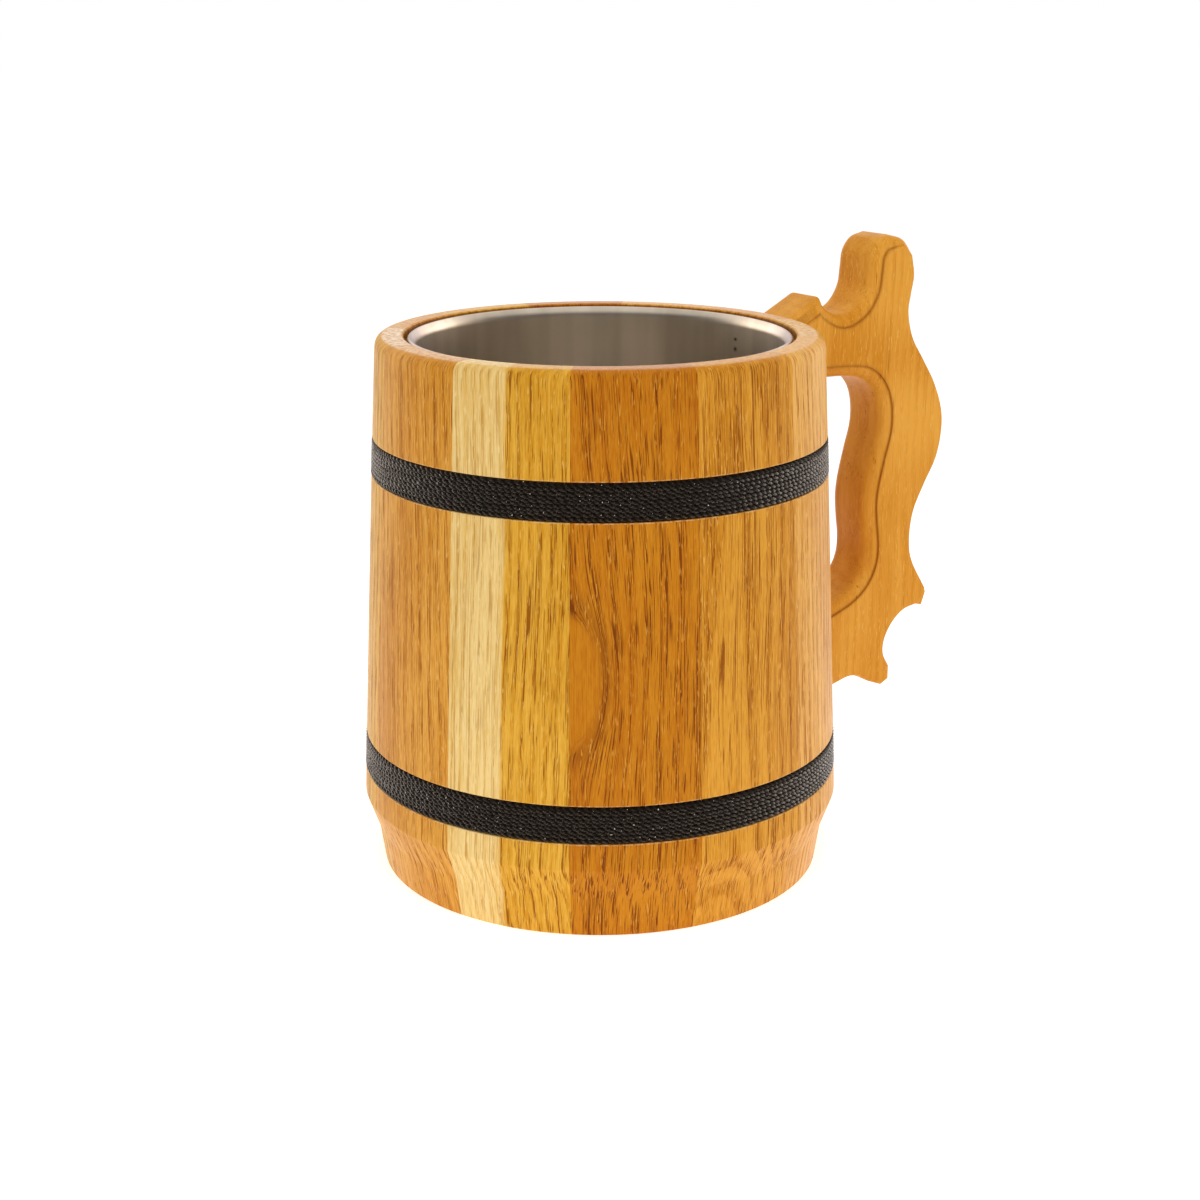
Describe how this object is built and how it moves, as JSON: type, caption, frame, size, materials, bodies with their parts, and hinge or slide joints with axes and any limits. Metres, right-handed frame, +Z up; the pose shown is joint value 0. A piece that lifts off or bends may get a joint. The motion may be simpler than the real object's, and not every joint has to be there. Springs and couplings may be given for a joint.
{
  "type": "barrel tankard",
  "caption": "Barrel-shaped wooden drinking tankard of glued oak staves with wound black cord bands, a carved side handle with a thumb lug, and a drawn steel liner.",
  "frame": {"origin": "centre of the underside, on the barrel's axis", "axes": "+Z up the barrel's axis, +X from the axis through the middle of the handle"},
  "size_m": [0.1592, 0.1144, 0.1445],
  "materials": {
    "oak_tan": "oiled oak, tan",
    "oak_pale": "oiled oak, pale sapwood",
    "oak_brown": "oiled oak, deep brown",
    "oak_gold": "oiled oak, golden",
    "black_cord": "twisted waxed cord, matt black",
    "liner_steel": "brushed",
    "screw_steel": "zinc plated"
  },
  "bodies": {
    "root": {"stave_01": "oak_tan", "stave_02": "oak_pale", "stave_03": "oak_brown", "stave_04": "oak_gold", "stave_05": "oak_tan", "stave_06": "oak_gold", "stave_07": "oak_tan", "stave_08": "oak_pale", "stave_09": "oak_brown", "stave_10": "oak_gold", "stave_11": "oak_tan", "stave_12": "oak_gold", "base_disc": "oak_tan", "liner": "liner_steel", "handle": "oak_gold", "upper_cord_winding": "black_cord", "lower_cord_winding": "black_cord", "upper_handle_screw": "screw_steel", "lower_handle_screw": "screw_steel"}
  },
  "joints": []
}
